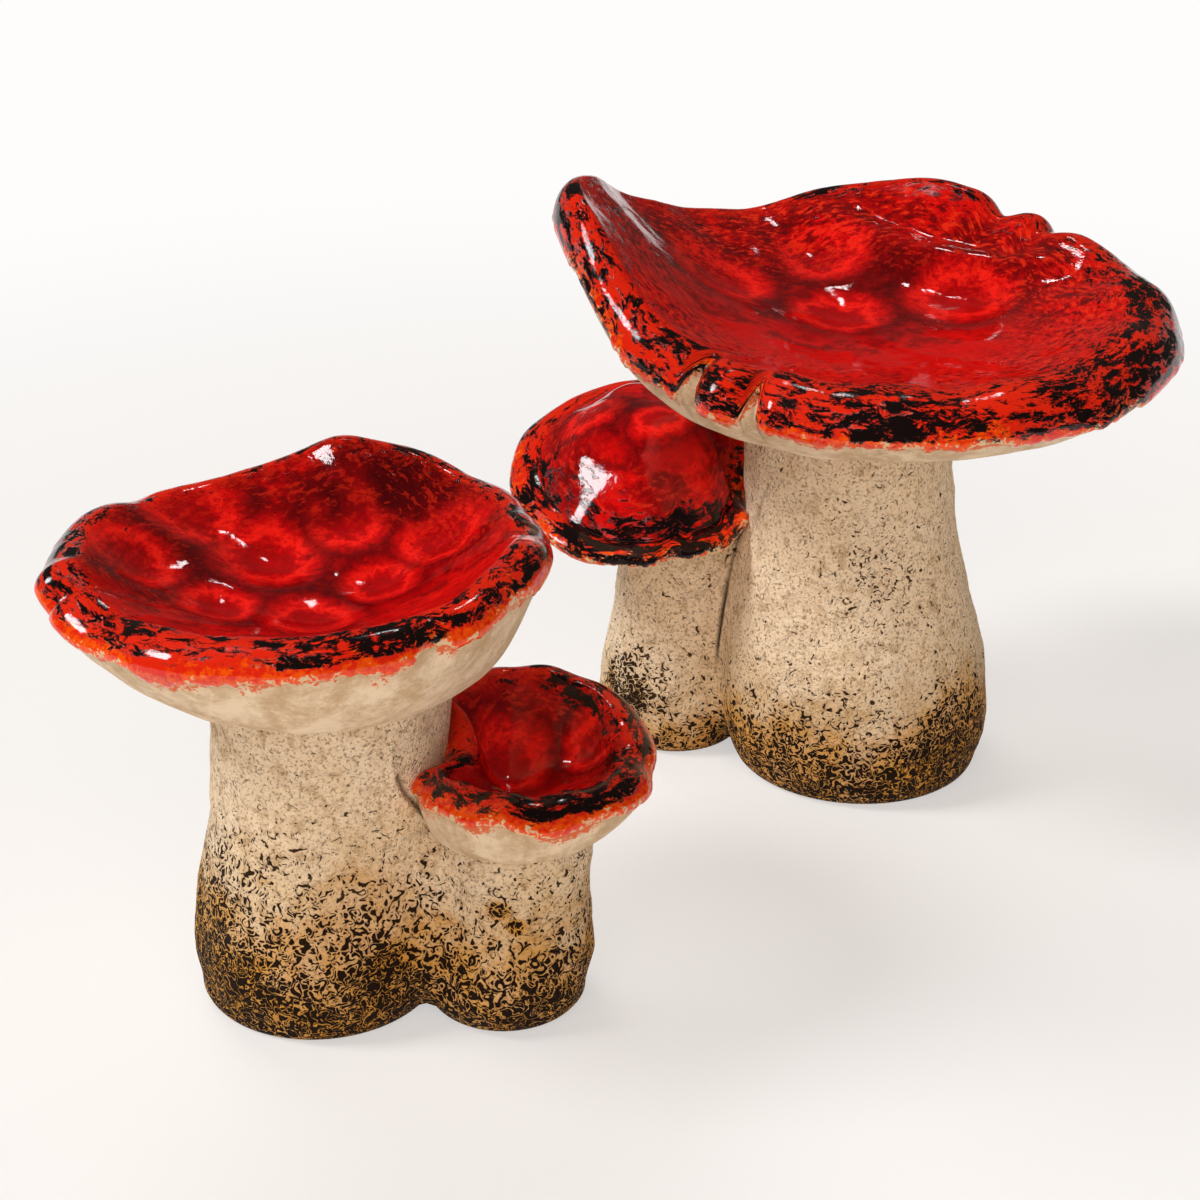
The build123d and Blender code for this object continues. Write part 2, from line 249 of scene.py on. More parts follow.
# %% A socket that can be added and multiplied
class Wire:
    """One output socket of a material's tree."""

    def __init__(self, tree, socket):
        self.tree = tree
        self.socket = socket

    def node(self, kind, settings, sockets, output=0):
        """Add a node: its settings first, then the values or links of its sockets."""
        made = self.tree.nodes.new(kind)
        for name, value in settings.items():
            if name == "stops":
                fill_ramp(made.color_ramp, value)
            else:
                setattr(made, name, value)
        plug(self.tree, made, sockets)
        return Wire(self.tree, made.outputs[output])

    def math(self, operation, first, second):
        """Add a Math node."""
        return self.node("ShaderNodeMath", {"operation": operation}, {0: first, 1: second})

    def __add__(self, other):
        return self.math("ADD", self, other)

    def __sub__(self, other):
        return self.math("SUBTRACT", self, other)

    def __rsub__(self, other):
        return self.math("SUBTRACT", other, self)

    def __mul__(self, other):
        return self.math("MULTIPLY", self, other)

    def __abs__(self):
        return self.math("ABSOLUTE", self, 0.0)

    __radd__ = __add__
    __rmul__ = __mul__

    def between(self, low, high):
        """A smooth step from 0 at low to 1 at high."""
        return self.node(
            "ShaderNodeMapRange", {"interpolation_type": "SMOOTHSTEP"}, {0: self, 1: low, 2: high}
        )

    def mix(self, first, second):
        """The first colour where this is 0, the second where it is 1."""
        return self.node("ShaderNodeMix", {"data_type": "RGBA"}, {0: self, 6: first, 7: second}, 2)

    def mark(self, name):
        """A value stored on the mesh's points."""
        return self.node("ShaderNodeAttribute", {"attribute_name": name}, {}, "Fac")

    def noise(self, size, detail=2.0, wander=0.0, rough=0.5):
        """Cloudy noise with features of about a size in millimetres."""
        sockets = {
            "Vector": self, "Scale": 1 / (size * MM), "Detail": detail,
            "Roughness": rough, "Distortion": wander,
        }
        return self.node("ShaderNodeTexNoise", {"noise_dimensions": "3D"}, sockets)


def plug(tree, node, sockets):
    """Link wires and set plain values on a node's sockets."""
    for name, value in sockets.items():
        if isinstance(value, Wire):
            tree.links.new(value.socket, node.inputs[name])
        else:
            node.inputs[name].default_value = value


def fill_ramp(ramp, stops):
    """Set a colour ramp's stops."""
    while len(ramp.elements) < len(stops):
        ramp.elements.new(1.0)
    for element, (position, colour) in zip(ramp.elements, stops):
        element.position = position
        element.color = colour


print("what a wire can do", [name for name in vars(Wire) if not name.startswith("_")])

# %% Colours and new finishes
def srgb(red, green, blue):
    """A colour as an eye-dropper reads it, turned into the linear values that shaders use."""
    parts = [channel / 255 for channel in (red, green, blue)]
    return tuple(p / 12.92 if p <= 0.04045 else ((p + 0.055) / 1.055) ** 2.4 for p in parts) + (1.0,)


def new_finish(name):
    """A new material, and the wire of its own coordinates."""
    material = bpy.data.materials.new(name)
    material.use_nodes = True
    tree = material.node_tree
    coordinates = tree.nodes.new("ShaderNodeTexCoord")
    return material, Wire(tree, coordinates.outputs["Object"])


def dress(material, sockets):
    """Set the sockets of a material's shader."""
    plug(material.node_tree, material.node_tree.nodes["Principled BSDF"], sockets)


print("deep red", srgb(175, 10, 15))

# %% [markdown]
# ## Red glaze
# The glaze is a runny, glassy red. It pools in each dimple with a bright ring halfway out and
# a dark one at the edge, breaks to orange where it is thin on the lip, and carries black
# islands along the rim. Painting an image would do it too, but marks on the mesh plus noise
# stay sharp at any size. `cell` is the distance from the nearest dimple's middle, and `vein`
# is small between two dimples. `dusk` darkens the glaze in given spots: partly painted shade,
# where the back wall of a dish faces away from the window, and partly dark mottling. `lip` is
# 1 along the rim, `black` is the share of black there, and `edge` is the distance from the
# glaze's lower edge in millimetres. `along_x`, `along_y` and `across` are coordinates drawn out
# along the rim, for the strokes of a brush, and `streaky` is how plainly these show.

# %% The glaze's colours
RINGS = [
    (0.0, srgb(192, 4, 8)), (0.16, srgb(168, 3, 7)), (0.23, srgb(200, 5, 8)),
    (0.31, srgb(252, 30, 20)), (0.4, srgb(206, 6, 8)), (0.54, srgb(122, 1, 5)),
    (0.72, srgb(180, 3, 6)), (1.0, srgb(222, 10, 9)),
]
VEIN_RED = srgb(58, 0, 4)
SHADE_AND_MOTTLE_RED = srgb(70, 0, 4)
DARK_STROKE = srgb(98, 4, 7)
BRIGHT_STROKE = srgb(238, 46, 18)
GRIME_RED = srgb(48, 1, 5)
THIN_ORANGE = srgb(226, 38, 12)
FRINGE_ORANGE = srgb(246, 88, 4)
BARE_CLAY = srgb(226, 192, 150)
ISLAND_BLACK = srgb(18, 8, 8)
print("colours from a pool's middle outwards", len(RINGS))

# %% Red glaze finish
def red_glaze():
    """Pools and veins first, then strokes of the brush, then the thin lip and its black islands."""
    material, place = new_finish("red_glaze")
    cell = place.mark("cell")
    lip = place.mark("lip")
    edge = place.mark("edge")
    black = place.mark("black")
    along = {
        0: place.mark("along_x") * MM,
        1: place.mark("along_y") * MM,
        2: place.mark("across") * MM,
    }
    drawn = place.node("ShaderNodeCombineXYZ", {}, along)
    cloud = place.noise(11, 3, 0.5)
    petal = place.noise(5, 3, 0.8)
    flecks = place.noise(2.2, 4, 1.0)
    wander = cell + (cloud - 0.5) * 0.4 + (petal - 0.5) * 0.5 + (flecks - 0.5) * 0.4
    pools = place.node("ShaderNodeValToRGB", {"stops": RINGS}, {"Fac": wander * 0.6})
    vein = (place.mark("vein") + (petal - 0.5) * 1.2 + (cloud - 0.5) * 1.4).between(0.4, -0.2)
    pools = (vein * 0.6).mix(pools, VEIN_RED)
    # painted shade and mottling: darker glaze in the spots listed for each cap
    pools = (place.mark("dusk") * (0.5 + cloud)).mix(pools, SHADE_AND_MOTTLE_RED)
    strokes = drawn.noise(2.0, 4, 0.3, 0.6)
    streaky = place.mark("streaky")
    pools = (strokes.between(0.52, 0.61) * streaky).mix(pools, DARK_STROKE)
    pools = (strokes.between(0.48, 0.37) * streaky).mix(pools, BRIGHT_STROKE)
    grime = place.noise(1.1, 2).between(0.67, 0.73)
    pools = (grime * 0.7).mix(pools, GRIME_RED)
    thin = (lip + (flecks - 0.5) * 0.9 + (strokes - 0.5) * 1.1).between(0.4, 1.0)
    breaking = thin.mix(pools, THIN_ORANGE)
    fringe = (6.5 - edge + (flecks - 0.5) * 18.0 + (strokes - 0.5) * 12.0).between(0.0, 5.0)
    breaking = (fringe * 0.95).mix(breaking, FRINGE_ORANGE)
    patches = drawn.noise(12, 2, 0.3)
    blot = drawn.noise(2.9, 8, 0.4, 0.8)
    islands = (blot + (patches - 0.5) * 0.3 + black * 0.26 - 0.73).between(-0.006, 0.010)
    bare = (1.6 - edge + (flecks - 0.5) * 12.0 + (strokes - 0.5) * 9.0).between(0.0, 0.8)
    breaking = bare.mix(breaking, BARE_CLAY)
    colour = islands.mix(breaking, ISLAND_BLACK)
    peel = place.noise(5.0, 2, 0.5) * 0.35 + place.noise(1.2, 2) * 0.09
    height = peel + islands * 0.1
    surface = place.node("ShaderNodeBump", {}, {"Strength": 0.35, "Distance": 0.001, "Height": height})
    gloss = 0.06 + islands * 0.05 + bare * 0.4
    dress(material, {"Base Color": colour, "Roughness": gloss, "IOR": 1.45, "Normal": surface})
    return material


red_glaze_finish = red_glaze()
print("glaze nodes", len(red_glaze_finish.node_tree.nodes))

# %% [markdown]
# ## Speckled clay
# The stems are bare beige clay. Sparse dark pits near the top crowd together further down
# until they meet as worm-like marks, and the foot is nearly all dark. One soft noise gives
# all three: a pit shows where the noise strays further from its middle than a limit, so the
# `speckle` and `pit` marks on the mesh only have to lower that limit. The same noise sinks
# the face there. `warm` toasts the clay, and `crack` is painted shade, which darkens gouges,
# the crease of a valley and ridges of slip.

# %% The clay's colours
LIGHT_CLAY = [(0.35, srgb(228, 197, 156)), (0.65, srgb(222, 170, 100)), (1.0, srgb(226, 164, 74))]
DARK_CLAY = [
    (0.0, srgb(84, 60, 38)), (0.35, srgb(48, 31, 16)),
    (0.7, srgb(32, 17, 5)), (1.0, srgb(30, 16, 4)),
]
PALE_BLOTCH = srgb(248, 228, 202)
DULL_MOTTLE = srgb(176, 140, 98)
BROWN_GRAIN = srgb(130, 97, 62)
TOASTED_CLAY = srgb(222, 168, 104)
AMBER_FOOT = srgb(206, 144, 58)
CRACK_SHADE_BROWN = srgb(40, 27, 15)
print("clay colours from the top to the foot", len(LIGHT_CLAY) + 1, "light and", len(DARK_CLAY), "dark")

# %% Speckled clay finish
def speckled_clay(name, tone):
    """Bare clay that starts from a tone, with pits that crowd where the mesh's marks say."""
    material, place = new_finish(name)
    patch = place.noise(9, 3, 0.5)
    blotch = place.noise(22, 4, 0.6)
    mottle = place.noise(4.5, 3, 0.8)
    fine = place.noise(1.0, 2.0, 0.6)
    worm = place.noise(3.0, 1.5, 1.4)
    crowd = place.mark("speckle") + (patch - 0.5) * 0.7 + (mottle - 0.5) * 0.3
    light = place.node("ShaderNodeValToRGB", {"stops": [(0.0, tone)] + LIGHT_CLAY}, {"Fac": crowd})
    dark = place.node("ShaderNodeValToRGB", {"stops": DARK_CLAY}, {"Fac": crowd})
    light = (blotch.between(0.4, 0.7) * 0.5).mix(light, PALE_BLOTCH)
    light = (mottle.between(0.5, 0.75) * 0.55).mix(light, DULL_MOTTLE)
    light = (fine.between(0.5, 0.68) * 0.65).mix(light, BROWN_GRAIN)
    light = (place.mark("warm") * (0.4 + patch)).mix(light, TOASTED_CLAY)
    light = (crowd.between(0.4, 1.0) * 0.55).mix(light, AMBER_FOOT)
    limit = 0.26 - place.mark("pit") * 0.115 - crowd.between(0.05, 1.1) * 0.146
    holes = (abs(worm - 0.5) - limit).between(-0.01, 0.015)
    clay = holes.mix(light, dark)
    # painted shade: darkens the clay along gouges, a valley's crease and ridges of slip
    clay = place.mark("crack").mix(clay, CRACK_SHADE_BROWN)
    height = fine * 0.4 + mottle * 0.4 - abs(worm - 0.5) * 2.0 - holes
    surface = place.node("ShaderNodeBump", {}, {"Strength": 0.8, "Distance": 0.001, "Height": height})
    dress(material, {
        "Base Color": clay, "Roughness": 0.85 - holes * 0.1,
        "Specular IOR Level": 0.12, "Normal": surface,
    })
    return material


stem_finish = speckled_clay("stem_clay", srgb(246, 222, 190))
slip_finish = speckled_clay("joining_slip", srgb(242, 217, 184))
print("clay nodes", len(stem_finish.node_tree.nodes))

# %% [markdown]
# ## Cream clay under the caps
# The bare underside of a cap is smoother and paler than a stem, with faint marks of a
# finger drawn outwards, a few pin holes, and an orange stain where the glaze's edge has
# bled into it. Plain noise would hide the finger's marks, so `streak` is a wavy line of the
# bearing, made with the mesh.

# %% Cream clay finish
SHADED_CREAM = srgb(202, 170, 132)
PALE_CREAM = srgb(242, 220, 190)
PIN_HOLE = srgb(112, 84, 54)
BLEED_ORANGE = srgb(226, 92, 30)


def cream_clay():
    """Smooth clay with finger marks, pin holes and a stain along the glaze's edge."""
    material, place = new_finish("cap_clay")
    edge = place.mark("edge")
    streak = place.mark("streak")
    cloud = place.noise(14, 3, 0.5)
    mottle = place.noise(4, 3, 0.8)
    grain = place.noise(1.2, 2, 0.8)
    tone = cloud + streak * 0.03 + (mottle - 0.5) * 0.5 + (grain - 0.5) * 0.35
    clay = tone.between(0.25, 0.75).mix(SHADED_CREAM, PALE_CREAM)
    pits = (grain - 0.74).between(-0.01, 0.03)
    clay = (pits * 0.8).mix(clay, PIN_HOLE)
    bleed = (1.4 - edge + (grain - 0.5) * 12 + (cloud - 0.5) * 22).between(0.0, 1.6)
    clay = (bleed * 0.9).mix(clay, BLEED_ORANGE)
    height = grain * 0.4 + mottle * 0.5 - pits * 0.6
    surface = place.node("ShaderNodeBump", {}, {"Strength": 0.5, "Distance": 0.0008, "Height": height})
    dress(material, {
        "Base Color": clay, "Roughness": 0.75 + pits * 0.1,
        "Specular IOR Level": 0.3, "Normal": surface,
    })
    return material


cream_finish = cream_clay()
print("cream nodes", len(cream_finish.node_tree.nodes))

# %% [markdown]
# ## Building the stems
# A stem's mesh is one closed loop of rows: up the outside, over the mouth, down the inside
# and along the foot ring. A Screw modifier could turn it, but every turn would be round. A
# side stem is trimmed by asking how far each level line may run before it meets the main
# stem. Ridges of slip and gouges are lines on the unrolled face.

# %% Speckles, by place on an ornament
STEM_BLEND = 14  # millimetres over which one stem's speckles give way to the other's


@dataclass
class Ornament:
    """Two stems with the marks that the slip brush and the kiln left on them."""

    name: str
    main: Stem
    side: Stem
    seed: int
    main_fade: tuple  # heights where the speckles begin and where they are full, main stem
    side_fade: tuple
    pit_fade: tuple  # the same for pits
    stains: list  # x, y, z, radius, amount
    holes: list
    warm_spots: list
    fillet: float  # radius of the smoothed valley between the stems
    crease: float  # depth of the crack along the valley

    def lumpiness(self, points):
        """How far the clay's face swells out."""
        broad = lumps(points, 42, self.seed) * 0.75
        return broad + lumps(points, 14, self.seed + 1) * 0.28 + lumps(points, 5, self.seed + 2) * 0.07

    def clay_marks(self, points):
        """Marks for the speckled clay: crowding of the speckles, pits and toasted spots."""
        z = points[..., 2]
        to_side = ease(self.main.away(points) - self.side.away(points), -STEM_BLEND, STEM_BLEND)
        on_main = ease(z, *self.main_fade)
        on_side = ease(z, *self.side_fade)
        speckle = on_main * (1 - to_side) + on_side * to_side + blobs(points, self.stains)
        pit = 0.32 + 0.42 * ease(z, *self.pit_fade) + blobs(points, self.holes)
        warm = blobs(points, self.warm_spots)
        return {"speckle": speckle, "pit": pit, "warm": warm, "crack": 0 * z}


def blobs(points, spots):
    """Soft round spots: x, y, z, radius and amount of each."""
    total = np.zeros(points.shape[:-1])
    for x, y, z, radius, amount in spots:
        gap = np.linalg.norm(points - np.array([x, y, z]), axis=-1)
        total += amount * (1 - ease(gap, radius * 0.35, radius))
    return total


low = Ornament(
    name="low", main=low_main_stem, side=low_side_stem, seed=11,
    main_fade=(92, -2), side_fade=(76, -6), pit_fade=(96, 50),
    stains=[
        (-134, -117, 20, 30, 0.2), (-84, -126, 20, 15, 0.4), (-49, -124, 45, 5, 0.5),
        (-44, -124, 39, 4, 0.5), (-35, -125, 16, 14, 0.1),
    ],
    holes=[(-138, -108, 55, 26, 0.35), (-120, -122, 60, 26, 0.2), (-92, -126, 48, 18, 0.3)],
    warm_spots=[(-90, -127, 48, 20, 0.5), (-105, -130, 32, 16, 0.3)],
    fillet=15.0, crease=0.0,
)
tall = Ornament(
    name="tall", main=tall_main_stem, side=tall_side_stem, seed=31,
    main_fade=(66, 0), side_fade=(44, -14), pit_fade=(80, 20),
    stains=[(109, 26, 34, 26, 0.3), (96, 14, 24, 20, 0.25), (-11, 60, 28, 16, 0.3)],
    holes=[(76, 20, 86, 32, 0.5), (58, 15, 48, 22, 0.3), (-6, 58, 30, 20, 0.8)],
    warm_spots=[(110, 30, 16, 24, 0.5)],
    fillet=5.0, crease=1.1,
)
print("ornaments", low.name, tall.name)

# %% Rows and lines on a stem
def stem_rows(stem, foot_rows, side_rows):
    """Heights up a stem's outside, closer together round the foot."""
    foot = stem.belly_height * (1 - np.cos(np.linspace(0, pi / 2, foot_rows)))
    return np.concatenate([foot, np.linspace(stem.belly_height, stem.height, side_rows)[1:]])


def stem_ring(stem, radius, z, bearings):
    """One ring round the leaning axis."""
    x, y = stem.middle(z)
    return ring_points(x, y, radius, z, bearings)


def line_distance(x, y, corners):
    """Distance of points from a line through corners."""
    nearest = np.full(np.shape(x), FAR)
    for (ax, ay), (bx, by) in zip(corners, corners[1:]):
        length = (bx - ax) ** 2 + (by - ay) ** 2
        share = np.clip(((x - ax) * (bx - ax) + (y - ay) * (by - ay)) / length, 0, 1)
        gap = np.hypot(x - ax - share * (bx - ax), y - ay - share * (by - ay))
        nearest = np.minimum(nearest, gap)
    return nearest


print("heights of a side stem's foot", stem_rows(low_side_stem, 4, 2))

# %% Stem meshes
INSIDE_ROWS = 14
THINNEST_WALL = 0.3  # clay left where a trimmed stem has no room for its wall


def stem_face(ornament, stem, heights, bearings, ridges):
    """How far a stem's outer face swells out, and its marks."""
    base = stem_ring(stem, stem.radius(heights), heights, bearings)
    marks = ornament.clay_marks(base)
    swell = ornament.lumpiness(base) * ease(heights, 0, 8) * ease(stem.height - heights, 0, 4)
    for corners, width, rise, crack in ridges:
        unrolled = [(radians(bearing) * stem.belly, z) for bearing, z in corners]
        gap = line_distance(bearings * stem.belly, heights + 0 * bearings, unrolled)
        swell = swell + rise * np.exp(-((gap / width) ** 2))
        marks["crack"] = np.maximum(marks["crack"], crack * np.exp(-((gap / width / 0.8) ** 2)))
    return swell, marks


def stem_inside(ornament, stem, rim, bearings):
    """Rows down the inside: the mouth for the spigot, the hollow and the foot ring."""
    heights = np.linspace(stem.height - SPIGOT_DEPTH, 0, INSIDE_ROWS)[:, None]
    hollow = stem.radius(heights) - WALL
    hollow[-1] = stem.foot - FOOT_RING
    hollow = hollow + 0 * bearings
    mouth = stem.top - MOUTH_WALL + 0 * bearings
    if stem is ornament.side:
        x, y = stem.middle(heights)
        room = ornament.main.room(x, y, bearings[None], heights, HAIRLINE)
        hollow = np.minimum(hollow, room - THINNEST_WALL)
        mouth = np.minimum(mouth, rim - THINNEST_WALL)
    top = np.array(float(stem.height))
    return np.concatenate([
        stem_ring(stem, mouth, top, bearings)[None],
        stem_ring(stem, mouth, top - SPIGOT_DEPTH, bearings)[None],
        stem_ring(stem, hollow, heights, np.broadcast_to(bearings, hollow.shape)),
    ])


def build_stem(ornament, stem, role, columns, foot_rows, side_rows, ridges=()):
    """One cast stem, trimmed to the main stem if it is a side stem."""
    bearings = round_bearings(columns)
    heights = stem_rows(stem, foot_rows, side_rows)[:, None]
    round_about = np.broadcast_to(bearings, (heights.shape[0], columns))
    swell, marks = stem_face(ornament, stem, heights, round_about, ridges)
    radius = stem.radius(heights) + swell
    if stem is ornament.side:
        x, y = stem.middle(heights)
        radius = np.minimum(radius, ornament.main.room(x, y, round_about, heights, HAIRLINE))
    outside = stem_ring(stem, radius, heights, round_about)
    inside = stem_inside(ornament, stem, radius[-1], bearings)
    rows = np.concatenate([outside, inside])
    unmarked = np.zeros(inside.shape[:2])
    marks = {name: np.concatenate([value, unmarked]) for name, value in marks.items()}
    node = f"{ornament.name}_{role}_stem"
    mesh = grid_mesh(node, rows, True, marks)
    place_piece(f"{node}_cast", mesh, node, f"{ornament.name}_ornament", "stem_clay", stem_finish)


# Each ridge: its corners as bearing and height, its width, its rise and how much painted shade darkens it
low_ridges = [
    ([(305, 100), (305, 90), (308, 85), (317, 76), (337, 62)], 1.3, 0.8, 0.0),
    ([(309, 88), (313, 82), (320, 76), (338, 64)], 1.1, -1.0, 0.8),
    ([(313, 66), (325, 65), (337, 61)], 1.2, 0.6, 0.25),
]
tall_ridges = [([(215, 115), (206, 103), (196, 90)], 1.2, -0.9, 0.25)]
tall_side_ridges = [
    ([(308, 74), (295, 71), (282, 69), (264, 66)], 1.2, 0.9, 0.0),
    ([(300, 70), (282, 66), (268, 63)], 1.0, 0.5, 0.15),
]
build_stem(low, low_main_stem, "main", columns=320, foot_rows=40, side_rows=130, ridges=low_ridges)
build_stem(low, low_side_stem, "side", columns=240, foot_rows=32, side_rows=80)
build_stem(tall, tall_main_stem, "main", columns=360, foot_rows=44, side_rows=150, ridges=tall_ridges)
build_stem(tall, tall_side_stem, "side", columns=240, foot_rows=36, side_rows=90, ridges=tall_side_ridges)

# %% [markdown]
# ## The valley between two stems
# Wet slip was smoothed into the valley with a finger. A hand-drawn strip would do, but a
# fillet circle that touches both stems at each height follows them exactly. The low
# ornament's valley is broad and soft, the tall one's is a narrow crease.

# %% Slip in a valley
FACE_COLUMNS = 21
SEAM_ROWS = 110
SUNK = 0.2  # how far the slip's hidden edges sink into the clay
FILLET_GROWS = 16  # height over which a fillet grows at its foot and shrinks at its top
CRACK_OPENS = (36, 46)  # heights
CRACK_NARROWS = (62, 74)


def valley_ring(ornament, z, size, side_of_line):
    """One ring of slip, a fillet's arc of a given size with a blunt back, and the depth of the arc's
    crease, which also darkens the crease as painted shade.
    """
    main, side = ornament.main, ornament.side
    first = np.array([float(v) for v in main.middle(z)])
    second = np.array([float(v) for v in side.middle(z)])
    main_radius, side_radius = float(main.radius(z)), float(side.radius(z))
    apart = np.linalg.norm(second - first)
    across = (second - first) / apart
    out = side_of_line * np.array([across[1], -across[0]])
    long, short = main_radius + size, side_radius + size
    forward = (long**2 - short**2 + apart**2) / (2 * apart)
    centre = first + across * forward + out * np.sqrt(max(long**2 - forward**2, 1.0))
    touch_main = first + (centre - first) * (main_radius - SUNK) / long
    touch_side = second + (centre - second) * (side_radius - SUNK) / short
    start = np.arctan2(*(touch_main - centre)[::-1])
    turn = (np.arctan2(*(touch_side - centre)[::-1]) - start + pi) % (2 * pi) - pi
    share = np.linspace(0, 1, FACE_COLUMNS)
    bend = start + turn * share
    ends = np.linalg.norm(touch_main - centre), np.linalg.norm(touch_side - centre)
    radius = ends[0] + (ends[1] - ends[0]) * share
    from_middle = np.abs(np.arange(FACE_COLUMNS) - FACE_COLUMNS // 2)
    # the crease's depth is used again as painted shade in its hollow
    open_crack_and_shade = float(ease(z, *CRACK_OPENS)) * (1 - 0.4 * float(ease(z, *CRACK_NARROWS)))
    crack = open_crack_and_shade * np.exp(-((from_middle / 1.5) ** 2)) * (ornament.crease > 0)
    swell = ornament.lumpiness(ring_points(*centre, radius, z, bend))
    radius = radius - swell * float(ease(z, 0, 8)) + crack * ornament.crease
    face = ring_points(*centre, radius, z, bend)[:, :2]
    deep = (face.mean(0) + first + across * main_radius * 0.98) / 2
    back = [touch_side + (deep - touch_side) * k for k in (0.35, 0.7)]
    back += [touch_main + (deep - touch_main) * k for k in (0.7, 0.35)]
    loop = np.vstack([face, back])
    ring = np.column_stack([loop, np.full(len(loop), z)])
    return ring, np.concatenate([crack, np.zeros(len(back))])


def valley(ornament, heights, side_of_line):
    """Rings up the valley on one side of the line between the stems, smaller at both ends."""
    rings = []
    crack_and_shade_rows = []
    for z in heights:
        grown = 0.35 + 0.65 * float(ease(z, heights[0], heights[0] + FILLET_GROWS))
        shrunk = 1 - 0.75 * float(ease(z, heights[-1] - FILLET_GROWS, heights[-1]))
        size = ornament.fillet * grown * shrunk
        ring, crack = valley_ring(ornament, z, size, side_of_line)
        rings.append(ring)
        crack_and_shade_rows.append(crack)
    return np.array(rings), np.array(crack_and_shade_rows)


print("a valley has", SEAM_ROWS, "rings")

# %% Stem seams
def join_meshes(name, parts):
    """Several meshes as one, with their marks."""
    objects = [bpy.data.objects.new(name, part) for part in parts]
    for piece in objects:
        bpy.context.scene.collection.objects.link(piece)
    with bpy.context.temp_override(active_object=objects[0], selected_editable_objects=objects):
        bpy.ops.object.join()
    mesh = objects[0].data
    bpy.data.objects.remove(objects[0])
    mesh.name = name
    return mesh


def build_stem_seam(ornament, lowest, highest):
    """The slip in both valleys of an ornament, as one piece."""
    parts = []
    heights = np.linspace(lowest, highest, SEAM_ROWS)
    for side_of_line in (1, -1):
        rows, crack_and_shade_rows = valley(ornament, heights, side_of_line)
        marks = ornament.clay_marks(rows)
        marks["crack"] = crack_and_shade_rows
        if side_of_line < 0:
            rows = rows[:, ::-1]
            marks = {name: value[:, ::-1] for name, value in marks.items()}
        parts.append(grid_mesh("valley", rows, False, marks))
    node = f"{ornament.name}_stem_seam"
    mesh = join_meshes(node, parts)
    place_piece(f"{node}_slip", mesh, node, f"{ornament.name}_ornament", "slip", slip_finish)


build_stem_seam(low, 5, 64)
build_stem_seam(tall, 5, 86)

# %% [markdown]
# ## Caps
# A cap is a bowl whose rim rises, droops and curls. Its section is three curves: the
# underside, the lip that turns over, and the dish. Twelve bearings round the rim give its
# reach, its rise and its lip's width, and a closed spline runs through them. It could be
# sculpted, but a section that is worked out from measures stays true to the cap's solid.

# %% A closed curve round a rim
def round_the_rim(values, bearings):
    """A smooth closed curve through evenly spaced values, read at bearings."""
    values = np.asarray(values, float)
    count = len(values)
    step = np.eye(count)
    system = 4 * step + np.roll(step, 1, 1) + np.roll(step, -1, 1)
    bend = np.linalg.solve(system, 6 * (np.roll(values, 1) - 2 * values + np.roll(values, -1)))
    place = (bearings / (2 * pi) * count) % count
    first = place.astype(int) % count
    second = (first + 1) % count
    t = place - np.floor(place)
    line = values[first] * (1 - t) + values[second] * t
    return line + ((1 - t) ** 3 - (1 - t)) * bend[first] / 6 + (t**3 - t) * bend[second] / 6


def beside(bearings, bearing, half_width):
    """How far bearings lie from one bearing in degrees, as a share of a half width."""
    return ((np.degrees(bearings) - bearing + 180) % 360 - 180) / half_width


print("a rim through four values", round_the_rim([1, 2, 3, 2], np.array([0.0, 0.5])))

# %% The caps' form
SEAT_OVERHANG = 2.0  # how far a cap's seat reaches past its stem's top
LIP_TURN = radians(104)
DISH_CURVE = 2.2
RIM_GAP = 0.4  # room between a trimmed rim and the main stem


